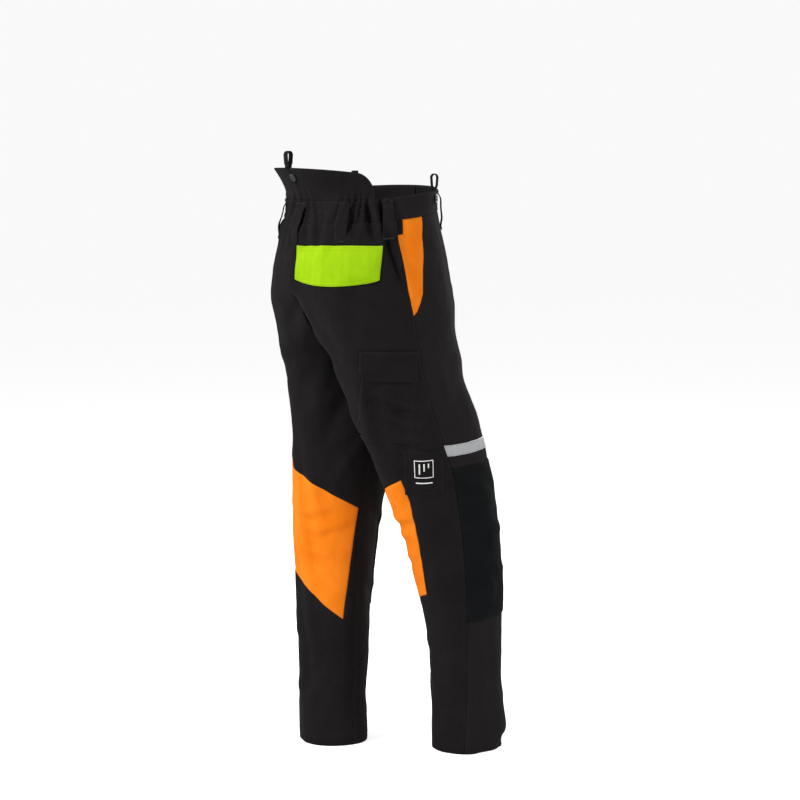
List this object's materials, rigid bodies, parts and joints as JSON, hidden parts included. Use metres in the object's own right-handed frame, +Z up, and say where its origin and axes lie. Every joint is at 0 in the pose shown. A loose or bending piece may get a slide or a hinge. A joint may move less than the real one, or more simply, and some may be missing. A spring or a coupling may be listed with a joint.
{
  "type": "chainsaw protective trousers",
  "caption": "Chainsaw protective trousers standing in a stride, with padded front legs, knee patches, orange calf inserts, reflective bands, raised back and brace loops",
  "frame": {"origin": "on the floor under the middle of the garment's bounding box, hems resting on the floor", "axes": "+Z up, the wearer faces -Y, the wearer's left is +X"},
  "size_m": [0.3745, 0.418, 1.1443],
  "materials": {
    "charcoal_cloth": "matte",
    "black_cloth": "matte",
    "knee_cloth": "matte",
    "orange_cloth": "matte",
    "lime_cloth": "matte",
    "reflective_tape": "satin",
    "cut_protection_layers": "matte",
    "lining_cloth": "matte",
    "webbing": "matte",
    "hook_and_loop": "matte",
    "steel": "satin",
    "dark_metal": "satin"
  },
  "bodies": {
    "garment": {"back_flap_loop_tape": "hook_and_loop", "back_panel_left": "black_cloth", "back_panel_right": "black_cloth", "back_pocket_bag": "lining_cloth", "belt_loop_back_left": "charcoal_cloth", "belt_loop_back_right": "charcoal_cloth", "belt_loop_centre_back": "charcoal_cloth", "belt_loop_front_left": "charcoal_cloth", "belt_loop_front_right": "charcoal_cloth", "belt_loop_side_left": "charcoal_cloth", "belt_loop_side_right": "charcoal_cloth", "brace_button_back": "dark_metal", "brace_button_front_left": "dark_metal", "brace_button_front_right": "dark_metal", "calf_insert_left": "orange_cloth", "calf_insert_right": "orange_cloth", "cut_protection_pack_left": "cut_protection_layers", "cut_protection_pack_right": "cut_protection_layers", "front_panel_left": "charcoal_cloth", "front_panel_right": "charcoal_cloth", "hem_facing_left": "black_cloth", "hem_facing_right": "black_cloth", "high_back_panel": "black_cloth", "knee_patch_left": "knee_cloth", "knee_patch_right": "knee_cloth", "label_patch": "black_cloth", "lining_front_left": "lining_cloth", "lining_front_right": "lining_cloth", "reflective_tape_left": "reflective_tape", "reflective_tape_right": "reflective_tape", "side_pocket_bag_left": "lining_cloth", "side_pocket_bag_right": "lining_cloth", "side_pocket_facing_left": "orange_cloth", "side_pocket_facing_right": "orange_cloth", "thigh_flap_loop_tape": "hook_and_loop", "thigh_pocket_body": "black_cloth", "waist_button": "steel", "waist_elastic": "webbing", "waistband_back": "black_cloth", "waistband_facing": "lining_cloth", "waistband_front_left": "charcoal_cloth", "waistband_front_right": "charcoal_cloth", "waistband_underlap": "charcoal_cloth", "zip_tape_left": "webbing", "zip_tape_right": "webbing"},
    "back_flap": {"back_pocket_flap": "lime_cloth", "back_flap_hook_tape": "hook_and_loop"},
    "thigh_flap": {"thigh_pocket_flap": "black_cloth", "thigh_flap_hook_tape": "hook_and_loop"},
    "zip_slider": {"zip_slider": "steel"},
    "zip_pull": {"zip_pull": "steel"},
    "brace_loop_back": {"brace_loop_back": "webbing"},
    "brace_loop_front_right": {"brace_loop_front_right": "webbing"},
    "brace_loop_front_left": {"brace_loop_front_left": "webbing"}
  },
  "joints": [
    {"name": "back_pocket_flap_hinge", "type": "hinge", "parent": "garment", "child": "back_flap", "pos_m": [-0.09403, 0.17131, 0.97], "axis": [0.8746, 0.4848, 0], "range_deg": [0, 110]},
    {"name": "thigh_pocket_flap_hinge", "type": "hinge", "parent": "garment", "child": "thigh_flap", "pos_m": [-0.17535, 0.09744, 0.778], "axis": [0.5, 0.866, 0], "range_deg": [0, 110]},
    {"name": "zip_slide", "type": "slide", "parent": "garment", "child": "zip_slider", "axis": [0, -0.1565, -0.9877], "range_m": [0, 0.134]},
    {"name": "zip_pull_hinge", "type": "hinge", "parent": "zip_slider", "child": "zip_pull", "pos_m": [0, -0.09687, 1.03456], "axis": [-1, 0, 0], "range_deg": [0, 115]},
    {"name": "brace_loop_back_fold", "type": "hinge", "parent": "garment", "child": "brace_loop_back", "pos_m": [0, 0.202, 1.11426], "axis": [1, 0, 0], "range_deg": [-75, 0], "stiffness_Nm_per_rad": 0.02},
    {"name": "brace_loop_front_right_fold", "type": "hinge", "parent": "garment", "child": "brace_loop_front_right", "pos_m": [-0.13265, -0.0347, 1.07335], "axis": [-0.6387, 0.7694, 0], "range_deg": [-75, 0], "stiffness_Nm_per_rad": 0.02},
    {"name": "brace_loop_front_left_fold", "type": "hinge", "parent": "garment", "child": "brace_loop_front_left", "pos_m": [0.13265, -0.0347, 1.08383], "axis": [-0.6387, -0.7694, 0], "range_deg": [-75, 0], "stiffness_Nm_per_rad": 0.02}
  ]
}
